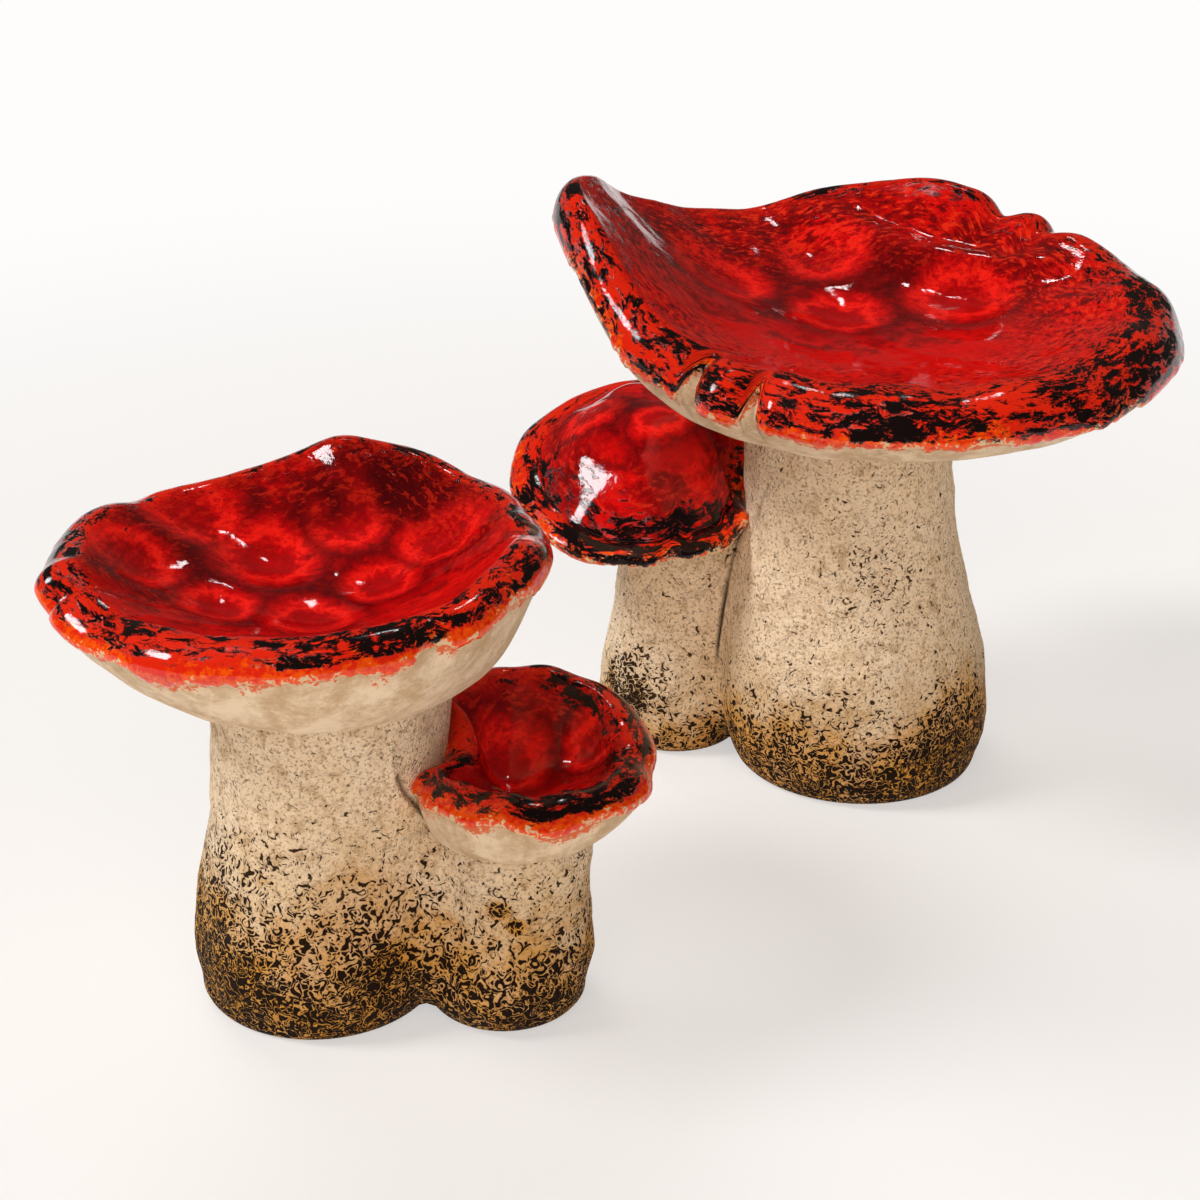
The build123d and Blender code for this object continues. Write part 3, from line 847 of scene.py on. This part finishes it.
@dataclass
class Cap:
    """A cap on its stem, with the marks of the hands that shaped it."""

    stem: Stem
    against: Stem  # the main stem that a side cap leans on, or None
    reach: list
    rise: list
    lip_width: list
    bowl: float
    lip_height: float
    floor: float
    seed: int
    black: list  # share of black on the lip, at twelve bearings
    black_band: tuple  # stations where the black begins, is full, begins to fade and ends
    streaks: float  # how plainly the brush's strokes show along the rim
    dimples: list = field(default_factory=list)  # x, y from the axis, radius, depth
    folds: list = field(default_factory=list)  # corners, width, height
    notches: list = field(default_factory=list)  # bearing, half width, change of reach and rise
    bites: list = field(default_factory=list)  # bearing, half width, how far the glaze is pulled up
    shade_and_mottle_spots: list = field(default_factory=list)  # x, y from the axis, radius, amount of darker glaze: painted shade on back walls, and mottling

    def rim(self, bearings):
        """Reach, rise and lip width at bearings."""
        reach = round_the_rim(self.reach, bearings)
        rise = round_the_rim(self.rise, bearings)
        width = round_the_rim(self.lip_width, bearings)
        if self.against is not None:
            reach = np.minimum(reach, self.room(bearings, rise))
            width = np.minimum(width, reach * 0.35)
        return reach, rise, width

    def room(self, bearings, rise):
        """How far the rim may reach before it meets the stem that it leans on."""
        level = self.stem.height + SLIP + rise - self.lip_height
        return self.against.room(self.stem.x + self.stem.lean, self.stem.y, bearings, level, RIM_GAP)

    def tremble(self, bearings):
        """Small changes of reach and rise round the lip: the hand's trembling, notches and curls."""
        size = np.mean(self.reach) / 110
        reach = ripple(bearings, 4, 16, self.seed) * size
        rise = ripple(bearings, 4, 16, self.seed + 1) * size * 0.8
        for bearing, half_width, reach_change, rise_change in self.notches:
            dip = np.exp(-(beside(bearings, bearing, half_width) ** 2))
            reach = reach + reach_change * dip
            rise = rise + rise_change * dip
        if self.against is not None:
            level = rise + round_the_rim(self.rise, bearings)
            free = ease(self.room(bearings, level) - self.rim(bearings)[0], 0, 8)
            reach, rise = reach * free, rise * free
        return reach, rise

    def glaze_line(self, bearings):
        """Where on the section the glaze ends: 1 is the widest line, less is further under."""
        broad = ripple(bearings, 3, 12, self.seed + 2)
        ragged = ripple(bearings, 30, 140, self.seed + 8)
        line = 0.965 + broad * 0.012 + ragged * 0.012
        for bearing, half_width, pulled in self.bites:
            line = line + pulled * np.exp(-(beside(bearings, bearing, half_width) ** 4))
        return line

    def section(self, stations, bearings):
        """Radius and height: 0 to 1 is under the cap, 1 to 2 over the lip, 2 to 3 into the dish."""
        reach, rise, width = self.rim(bearings)
        seat_radius = np.minimum(self.stem.top + SEAT_OVERHANG, reach - 1.5)
        under = np.clip(stations, 0, 1)
        under_radius = seat_radius + (reach - seat_radius) * under
        under_height = (rise - self.lip_height) * under**self.bowl
        turn = LIP_TURN * np.clip(stations - 1, 0, 1)
        lip_radius = reach - width + width * np.cos(turn)
        lip_height = rise - self.lip_height + self.lip_height * np.sin(turn)
        edge = reach - width + width * cos(LIP_TURN)
        edge_height = rise - self.lip_height + self.lip_height * sin(LIP_TURN)
        share = np.clip(3 - stations, 0, 1)
        dish_height = self.floor + (edge_height - self.floor) * share**DISH_CURVE
        radius = np.where(stations <= 1, under_radius, np.where(stations <= 2, lip_radius, edge * share))
        height = np.where(stations <= 1, under_height, np.where(stations <= 2, lip_height, dish_height))
        for _ in range(3):
            radius[1:-1] = (radius[:-2] + 2 * radius[1:-1] + radius[2:]) / 4
            height[1:-1] = (height[:-2] + 2 * height[1:-1] + height[2:]) / 4
        return radius, height

    def surface(self, stations, bearings):
        """Points of the skin: the section with the marks of the hands and the clay's lumps."""
        radius, height = self.section(stations, bearings)
        under = np.clip(stations, 0, 1)
        share = np.clip(3 - stations, 0, 1)
        near_lip = np.where(stations < 1.5, under**7, share**5)
        reach_change, rise_change = self.tremble(bearings)
        radius = radius + near_lip * reach_change
        height = height + near_lip * rise_change
        x, y = radius * np.cos(bearings), radius * np.sin(bearings)
        on_top = ease(stations, 2.0, 2.25)
        for dimple_x, dimple_y, size, depth in self.dimples:
            gap = np.clip(np.hypot(x - dimple_x, y - dimple_y) / size, 0, 1)
            height = height - depth * (1 - gap**2) ** 2 * on_top
        for corners, fold_width, fold_height in self.folds:
            gap = line_distance(x, y, corners) / fold_width
            height = height + fold_height * np.exp(-(gap**2)) * on_top
        seat = self.stem.height + SLIP
        points = np.stack([x + self.stem.x + self.stem.lean, y + self.stem.y, height + seat], -1)
        swell = lumps(points, 30, self.seed + 3) * 0.45 + lumps(points, 9, self.seed + 4) * 0.05
        swell = swell * ease(stations, 0.1, 0.5)
        if self.against is not None:
            swell = swell * ease(self.against.away(points), 0.5, 5)
        return points + grid_normals(points) * swell[..., None]


print("a lip turns", round(LIP_TURN, 2), "radians")

# %% [markdown]
# The four caps repeat the rims of the part's source, and the two main caps also its dimples
# and folds. The small dents of the side caps, and all notches, bites and shades, are this
# lesson's own detail. Dimples, folds and shades are placed by their distance from the cap's
# axis, notches and bites by their bearing.

# %% The low ornament's caps
low_main_cap = Cap(
    stem=low_main_stem, against=None,
    reach=[65, 67, 72, 73, 76, 80, 81, 81, 79, 76, 70, 66],
    rise=[41, 38, 40, 44, 36, 38, 40, 37, 38, 40, 40, 42],
    lip_width=[8, 8, 8, 7, 7, 8, 9, 10, 9, 9, 8, 8],
    bowl=2.0, lip_height=6.5, floor=20.0, seed=101,
    black=[0.92, 0.95, 0.98, 0.92, 0.8, 0.88, 0.92, 0.85, 0.82, 0.93, 0.93, 0.92],
    black_band=(1.05, 1.3, 1.85, 2.25), streaks=0.35,
    dimples=[
        (-46, 40, 22, 3), (-58, 4, 20, 3), (-22, 26, 24, 3), (2, 42, 19, 3),
        (32, 30, 20, 3), (15, 12, 17, 3), (-32, -8, 17, 3), (-4, -12, 19, 3),
    ],
    notches=[
        (302, 5, -2, -1), (92, 9, 0, 3), (196, 5, 1.5, 2), (203, 3.5, -3, -3),
        (211, 6, 1.5, 2.5), (150, 8, -1, -1.5),
    ],
    bites=[(300, 5, 0.16), (240, 5, -0.05), (330, 8, 0.05)],
    # spots of darker glaze: painted shade where the dish's back wall faces away from the window, and
    # mottling
    shade_and_mottle_spots=[
        (8, 62, 26, 0.75), (24, 50, 20, 0.75), (-8, 48, 14, 0.6),
        (44, 46, 16, 0.5), (-40, 14, 14, 0.5), (-62, -12, 14, 0.4),
    ],
)
low_side_cap = Cap(
    stem=low_side_stem, against=low_main_stem,
    reach=[41, 44, 44, 42, 40, 36, 32, 33, 37, 40, 42, 42],
    rise=[23, 26, 30, 32, 30, 26, 22, 24, 25, 25, 24, 23],
    lip_width=[8, 8, 7, 6, 6, 6, 7, 7, 8, 8, 8, 8],
    bowl=1.8, lip_height=6.0, floor=10.0, seed=121,
    black=[1.0, 0.98, 0.85, 0.65, 0.5, 0.6, 0.85, 0.95, 0.97, 0.98, 0.98, 1.0],
    black_band=(1.05, 1.45, 2.05, 2.25), streaks=0.4,
    dimples=[(-2, 12, 18, 3), (24, 12, 14, 3)],
    folds=[([(12, 26), (12, 4), (18, -12)], 4, 1.2)],
    bites=[(262, 8, 0.1), (310, 8, 0.06)],
    shade_and_mottle_spots=[(4, 26, 14, 0.1), (10, 10, 9, 0.3)],
)
print("dimples in the low main cap", len(low_main_cap.dimples))

# %% The tall ornament's caps
tall_main_cap = Cap(
    stem=tall_main_stem, against=None,
    reach=[112.6, 114, 110, 108, 103, 102, 100, 92, 90, 96, 106, 111],
    rise=[38, 42, 52, 47, 44, 63, 74, 46, 34, 32, 33, 35],
    lip_width=[14, 12, 10, 8, 8, 7, 7, 10, 14, 17, 17, 16],
    bowl=2.6, lip_height=12.0, floor=24.0, seed=141,
    black=[0.96, 0.88, 0.82, 0.82, 0.85, 0.95, 0.97, 0.92, 0.95, 0.92, 0.92, 0.96],
    black_band=(0.95, 1.1, 1.85, 2.35), streaks=0.9,
    dimples=[(-2, 20, 24, 3), (42, 28, 26, 3), (-4, 66, 24, 3), (-44, 36, 26, 3)],
    folds=[
        ([(-8, 100), (28, 56), (57, 44), (113, 35)], 10, 4.5),
        ([(20, 82), (40, 67), (68, 52)], 10, -3),
    ],
    notches=[(50, 4, -5, -4), (38, 4, -5, -4), (229, 2.5, -5, -2), (244, 2.5, -5, -2), (236, 4, 2, 1)],
    bites=[(244, 2.0, 0.5), (229, 2.7, 0.5), (200, 10, 0.1), (290, 4, 0.05), (318, 5, 0.06)],
    # spots of darker glaze: painted shade where the dish's back wall faces away from the window, and
    # mottling
    shade_and_mottle_spots=[
        (20, 46, 18, 0.6), (50, 58, 16, 0.5), (78, 48, 14, 0.4),
        (-26, 20, 14, 0.5), (16, 2, 18, 0.2),
    ],
)
tall_side_cap = Cap(
    stem=tall_side_stem, against=tall_main_stem,
    reach=[32, 38, 44, 50, 56, 61, 64, 62, 56, 47, 37, 32],
    rise=[26, 34, 37, 38, 36, 30, 22, 13, 8, 9, 14, 20],
    lip_width=[8] * 12,
    bowl=1.3, lip_height=4.5, floor=42.0, seed=161,
    black=[0.7, 0.5, 0.5, 0.5, 0.6, 0.7, 0.9, 1.05, 1.15, 1.1, 0.9, 0.7],
    black_band=(0.95, 1.1, 1.9, 2.5), streaks=0.5,
    dimples=[(-34, 8, 15, 0.4), (-10, -6, 14, 0.4)],
    folds=[([(-19, 42), (-32, 0), (-39, -13)], 9, 2.5)],
    notches=[(262, 5, -3, 1), (285, 7, 1, -1)],
    bites=[(262, 6, 0.1)],
    shade_and_mottle_spots=[(-40, -22, 16, 0.6), (-8, -34, 14, 0.6), (-22, 8, 12, 0.5), (10, -6, 14, 0.5)],
)
print("dimples in the tall main cap", len(tall_main_cap.dimples))

# %% [markdown]
# ## Clay and coat of a cap
# The clay of a cap and its coat of glaze share one skin. The coat is that skin pushed out
# by the glaze's thickness, rounded off at its lower edge, where glaze gathers into a bead. A
# Solidify modifier could thicken it, but not by a different amount at each point.

# %% Marks on the glaze
STROKE_LENGTH = 0.4  # brush strokes along a rim are drawn out by one over this
NO_DIMPLE = (1.6, 2.4)  # distances that stand in for two dimples where none is near


def cap_marks(cap, points, stations, bearings):
    """Marks for the glaze: cells and the veins between them, nearness to the lip, black, strokes."""
    x = points[..., 0] - cap.stem.x - cap.stem.lean
    y = points[..., 1] - cap.stem.y
    cells = [np.hypot(x - dimple_x, y - dimple_y) / size for dimple_x, dimple_y, size, _ in cap.dimples]
    cells = np.stack(cells + [distance + 0 * x for distance in NO_DIMPLE])
    cells.sort(axis=0)
    shade = np.zeros_like(x)
    # spots of darker glaze: partly painted shade on the dishes' back walls, partly mottling
    for shade_x, shade_y, size, amount in cap.shade_and_mottle_spots:
        shade += amount * (1 - ease(np.hypot(x - shade_x, y - shade_y), size * 0.3, size))
    begin, full, fade, end = cap.black_band
    band = ease(stations, begin, full) * ease(stations, end, fade)
    around = np.mean(cap.reach) * STROKE_LENGTH
    return {
        "cell": cells[0], "vein": cells[1] - cells[0], "dusk": shade,
        "lip": ease(stations, 2.3, 1.75), "black": band * round_the_rim(cap.black, bearings),
        "streaky": cap.streaks * ease(stations, 2.6, 2.1),
        "along_x": around * np.cos(bearings), "along_y": around * np.sin(bearings),
    }


print("strokes are drawn out", 1 / STROKE_LENGTH, "times")

# %% Cap meshes
EDGE_ROUNDING = 1.8  # millimetres over which the coat's lower edge rounds off
BEAD = 0.35  # extra thickness where glaze gathers above that edge
BEAD_PLACE = 2.4
BEAD_WIDTH = 1.6
DISH_END = 2.985  # the section stops just short of the cap's axis
COARSE = 4  # the hidden face between clay and glaze keeps one row in this many
FAR_FROM_GLAZE = 40.0


def build_coat(ornament, cap, role, skin, stations, bearings, start):
    """The coat of glaze, over the skin's rows from start on."""
    top = skin[start:]
    run = np.cumsum(np.linalg.norm(np.diff(top, axis=0, prepend=top[:1]), axis=2), axis=0)
    rounded = np.sqrt(1 - np.clip(1 - run / EDGE_ROUNDING, 0, 1) ** 2)
    thickness = GLAZE * rounded + BEAD * np.exp(-(((run - BEAD_PLACE) / BEAD_WIDTH) ** 2))
    coat = top + grid_normals(skin)[start:] * thickness[..., None]
    marks = cap_marks(cap, top, stations[start:], bearings)
    marks["edge"] = run
    widest = [np.interp(1.0, stations[start:, j], run[:, j]) for j in range(len(bearings))]
    marks["across"] = run - np.array(widest)
    rows = np.concatenate([top[::COARSE][::-1], coat])
    marks = {name: np.broadcast_to(value, run.shape) for name, value in marks.items()}
    marks = {name: np.concatenate([value[::COARSE][::-1], value]) for name, value in marks.items()}
    node = f"{ornament.name}_{role}_glaze"
    mesh = grid_mesh(node, rows, False, marks)
    place_piece(f"{node}_coat", mesh, node, f"{ornament.name}_ornament", "red_glaze", red_glaze_finish)


def build_cap_clay(ornament, cap, role, skin, bearings, start):
    """The clay: a spigot, the bare underside up to start, and the face that the glaze covers."""
    x, y = cap.stem.x + cap.stem.lean, cap.stem.y
    seat = cap.stem.height + SLIP
    seat_reach = np.linalg.norm(skin[0, :, :2] - (x, y), axis=1)
    spigot = np.minimum(cap.stem.top - MOUTH_WALL - SLIP, seat_reach - 1)
    pegs = [ring_points(x, y, spigot, level, bearings) for level in (seat - SPIGOT_DEPTH, seat)]
    covered = skin[start:][::COARSE]
    steps = np.linalg.norm(np.diff(skin[: start + 1], axis=0), axis=2)
    to_edge = np.cumsum(steps[::-1], axis=0)[::-1]
    rows = np.concatenate([np.array(pegs), skin[:start], covered])
    far_off = np.full((len(pegs), len(bearings)), FAR_FROM_GLAZE)
    edge = np.concatenate([far_off, to_edge, np.zeros(covered.shape[:2])])
    streak = ripple(bearings, 18, 90, cap.seed + 5)
    node = f"{ornament.name}_{role}_cap"
    mesh = grid_mesh(node, rows, False, {"edge": edge, "streak": streak})
    place_piece(f"{node}_clay", mesh, node, f"{ornament.name}_ornament", "cap_clay", cream_finish)


def build_cap(ornament, cap, role, columns, under_rows, lip_rows, dish_rows):
    """A cap's coat and clay, from one skin that parts along the glaze's lower edge."""
    bearings = round_bearings(columns)
    line = cap.glaze_line(bearings)
    lower = np.linspace(0, 1, under_rows)[:, None] * line
    over = line + (2 - line) * np.linspace(0, 1, lip_rows)[:, None]
    into = np.broadcast_to(np.linspace(2, DISH_END, dish_rows)[1:, None], (dish_rows - 1, columns))
    stations = np.concatenate([lower[:-1], over, into])
    skin = cap.surface(stations, bearings)
    start = under_rows - 1
    build_coat(ornament, cap, role, skin, stations, bearings, start)
    build_cap_clay(ornament, cap, role, skin, bearings, start)


build_cap(low, low_main_cap, "main", columns=400, under_rows=44, lip_rows=56, dish_rows=76)
build_cap(low, low_side_cap, "side", columns=260, under_rows=30, lip_rows=40, dish_rows=44)
build_cap(tall, tall_main_cap, "main", columns=440, under_rows=50, lip_rows=64, dish_rows=90)
build_cap(tall, tall_side_cap, "side", columns=300, under_rows=34, lip_rows=40, dish_rows=60)

# %% [markdown]
# ## Slip under the caps
# Where a cap sits on its stem, slip squeezed out and was wiped round with a finger. A torus
# would bulge outwards, so a small ring is made with a hollow face, which fills the corner
# under the seat.

# %% Slip rings
RING_COLUMNS = 220
RING_SIZE = 2.4
RING_GAP = 0.3  # room between a trimmed ring and the main stem


def build_slip_ring(ornament, cap, role):
    """The slip between a stem's mouth and its cap."""
    stem = cap.stem
    bearings = round_bearings(RING_COLUMNS)
    size = RING_SIZE + 0.5 * ripple(bearings, 2, 14, cap.seed + 6)
    top = stem.height + SLIP
    x, y = stem.x + stem.lean, stem.y
    inner = stem.top - MOUTH_WALL - SLIP
    sections = []
    for turn in np.linspace(0, pi / 2, 9):
        sections.append((stem.top + size * (1 - cos(turn)), top - size * (1 - sin(turn))))
    for radius, level in ((inner, top), (inner, stem.height), (stem.top - SUNK, stem.height - SUNK)):
        sections.append((radius + 0 * size, level + 0 * size))
    rows = []
    for radius, level in sections:
        if cap.against is not None:
            radius = np.minimum(radius, cap.against.room(x, y, bearings, level, RING_GAP))
        rows.append(ring_points(x, y, radius, level, bearings))
    node = f"{ornament.name}_{role}_slip"
    mesh = grid_mesh(node, np.array(rows), True, ornament.clay_marks(np.array(rows)))
    place_piece(f"{node}_ring", mesh, node, f"{ornament.name}_ornament", "slip", slip_finish)


cap_pairs = [(low, low_main_cap, low_side_cap), (tall, tall_main_cap, tall_side_cap)]
for ornament, main_cap, side_cap in cap_pairs:
    build_slip_ring(ornament, main_cap, "main")
    build_slip_ring(ornament, side_cap, "side")

# %% [markdown]
# A side cap also touches the main stem. The slip of that joint shows as a thin, uneven
# roll along the line where the cap's rim meets the stem. A curve with a bevel could draw it,
# but rings along the line carry the same marks as the other clay.

# %% Cap seams
SEAM_BEARINGS = 1440
ROLL_COLUMNS = 14
ROLL_SIZE = 1.5


def build_cap_seam(ornament, cap):
    """The roll of slip along the bearings where a side cap touches the main stem."""
    x, y = cap.stem.x + cap.stem.lean, cap.stem.y
    bearings = np.linspace(0, 2 * pi, SEAM_BEARINGS, endpoint=False)
    level = cap.stem.height + SLIP + round_the_rim(cap.rise, bearings) - cap.lip_height
    room = cap.against.room(x, y, bearings, level, 0.0)
    touching = room < round_the_rim(cap.reach, bearings) - 1.0
    first = int(np.argmax(touching & ~np.roll(touching, 1)))
    order = [(first + k) % SEAM_BEARINGS for k in range(int(touching.sum()))]
    path = ring_points(x, y, room, level - 1.0, bearings)[order]
    share = np.linspace(0, 1, len(path))
    tapered = ROLL_SIZE * np.sqrt(np.sin(pi * np.clip(share, 0.004, 0.996)))
    thickness = tapered * (1 + 0.3 * lumps(path, 8, cap.seed + 7))
    tangent = np.gradient(path, axis=0)
    tangent /= np.linalg.norm(tangent, axis=1, keepdims=True)
    sideways = np.cross(tangent, np.array([0.0, 0.0, 1.0]))
    sideways /= np.linalg.norm(sideways, axis=1, keepdims=True)
    lift = np.cross(sideways, tangent)
    rings = []
    for turn in round_bearings(ROLL_COLUMNS):
        rings.append(path + (sideways * cos(turn) + lift * 1.3 * sin(turn)) * thickness[:, None])
    rows = np.stack(rings, 1)
    node = f"{ornament.name}_cap_seam"
    mesh = grid_mesh(node, rows, False, ornament.clay_marks(rows))
    place_piece(f"{node}_roll", mesh, node, f"{ornament.name}_ornament", "slip", slip_finish)


build_cap_seam(low, low_side_cap)
build_cap_seam(tall, tall_side_cap)

# %% [markdown]
# ## Floor
# The ornaments stand on a white sweep, a plain plane that takes their shadows. More light
# would turn it white too, but it would wash out the clay. Instead, Light Path mixes in a
# white glow that only the camera and mirrored or refracted rays see. The glow is weaker near
# the ornaments, so that their shadows stay.

# %% Floor
FLOOR_SIZE = 80.0  # so wide that a low view shows no edge
NEAR_GLOW = 0.53
GLOW_GROWS = (0.3, 0.9)  # distances from the middle between which the glow becomes full


def build_floor():
    """The white sweep under the ornaments."""
    bpy.ops.mesh.primitive_plane_add(size=FLOOR_SIZE, location=(0, 0, 0))
    floor = bpy.context.object
    floor.name = "floor"
    material, place = new_finish("white_sweep")
    seen = place.node("ShaderNodeLightPath", {}, {}, "Is Camera Ray")
    for way in ("Is Glossy Ray", "Is Transmission Ray"):
        seen = seen + place.node("ShaderNodeLightPath", {}, {}, way)
    distance = place.node("ShaderNodeVectorMath", {"operation": "LENGTH"}, {0: place}, "Value")
    far = distance.between(*GLOW_GROWS)
    dress(material, {"Base Color": srgb(250, 244, 239), "Roughness": 0.9, "Specular IOR Level": 0.0})
    glow = place.node("ShaderNodeEmission", {}, {"Color": srgb(254, 253, 252), "Strength": 1.0})
    matt = Wire(place.tree, place.tree.nodes["Principled BSDF"].outputs[0])
    share = seen * (NEAR_GLOW + far * (1 - NEAR_GLOW))
    shown = place.node("ShaderNodeMixShader", {}, {0: share, 1: matt, 2: glow})
    place.tree.links.new(shown.socket, place.tree.nodes["Material Output"].inputs["Surface"])
    floor.data.materials.append(material)
    print("floor", list(floor.dimensions))


build_floor()

# %% [markdown]
# ## Light
# A broad, soft window at the upper left gives the highlights on the glaze and the main
# shadows. A second window behind and a warm lamp in front lift the dark sides, and glossy
# faces don't mirror them. A faint, small sun behind adds crisp glints. The world could light
# it all, but without a direction there would be no shadows, so it is only faint and warm.

# %% Light
WORLD_COLOUR = (1.0, 0.86, 0.72, 1)
DAYLIGHT = (0.95, 0.98, 1.0)
ROOM_LIGHT = (1.0, 0.88, 0.76)


def build_world():
    """A faint, warm light from all round."""
    world = bpy.data.worlds.new("studio")
    bpy.context.scene.world = world
    world.use_nodes = True
    background = world.node_tree.nodes["Background"]
    plug(world.node_tree, background, {"Color": WORLD_COLOUR, "Strength": 0.07})


def add_lamp(name, kind, place, aim, settings, mirrored=True):
    """A lamp at a place, aimed at a point, that glossy faces mirror or not."""
    data = bpy.data.lights.new(name, kind)
    for setting, value in settings.items():
        setattr(data, setting, value)
    lamp = bpy.data.objects.new(name, data)
    lamp.location = place
    direction = np.array(aim) - np.array(place)
    tilt = np.arctan2(np.hypot(direction[0], direction[1]), -direction[2])
    heading = np.arctan2(direction[1], direction[0]) - pi / 2
    lamp.rotation_euler = (tilt, 0, heading)
    lamp.visible_glossy = mirrored
    bpy.context.scene.collection.objects.link(lamp)
    print(name, settings)


build_world()
add_lamp("window", "SUN", (-0.66, -0.1, 0.74), (0, 0, 0), {
    "energy": 1.8, "angle": radians(18), "color": DAYLIGHT,
})
add_lamp("back_window", "SUN", (-0.3, 0.6, 0.74), (0, 0, 0), {
    "energy": 1.0, "angle": radians(30), "color": DAYLIGHT,
}, mirrored=False)
add_lamp("far_lamp", "SUN", (0.1, 0.6, 0.8), (0, 0, 0), {"energy": 0.1, "angle": radians(5)})
add_lamp("fill_front", "AREA", (0.1, -2.1, 1.4), (0, 0, 0.1), {
    "shape": "SQUARE", "size": 2.4, "energy": 31, "color": ROOM_LIGHT,
}, mirrored=False)

# %% [markdown]
# ## Camera
# The camera looks down on the ornaments from the front. A wide lens close by would stretch
# the nearer one, so a narrow angle from a little under a metre away is used.

# %% Camera
CAMERA_AIM = (-0.0189, 0.0625, 0.06)
CAMERA_DISTANCE = 0.88
CAMERA_PITCH = radians(25)
CAMERA_ANGLE = radians(28)


def build_camera():
    """The camera, aimed by its distance and pitch from a point between the ornaments."""
    data = bpy.data.cameras.new("camera")
    data.sensor_fit = "HORIZONTAL"
    data.angle = CAMERA_ANGLE
    camera = bpy.data.objects.new("camera", data)
    camera.location = (
        CAMERA_AIM[0],
        CAMERA_AIM[1] - CAMERA_DISTANCE * cos(CAMERA_PITCH),
        CAMERA_AIM[2] + CAMERA_DISTANCE * sin(CAMERA_PITCH),
    )
    camera.rotation_euler = (pi / 2 - CAMERA_PITCH, 0, 0)
    bpy.context.scene.collection.objects.link(camera)
    bpy.context.scene.camera = camera
    bpy.context.scene.view_settings.view_transform = "Standard"
    print("camera at", list(camera.location))


build_camera()

# %% [markdown]
# ## The model's box
# The finished model should keep to the CAD model's box, apart from a millimetre or two of
# hand-made unevenness.
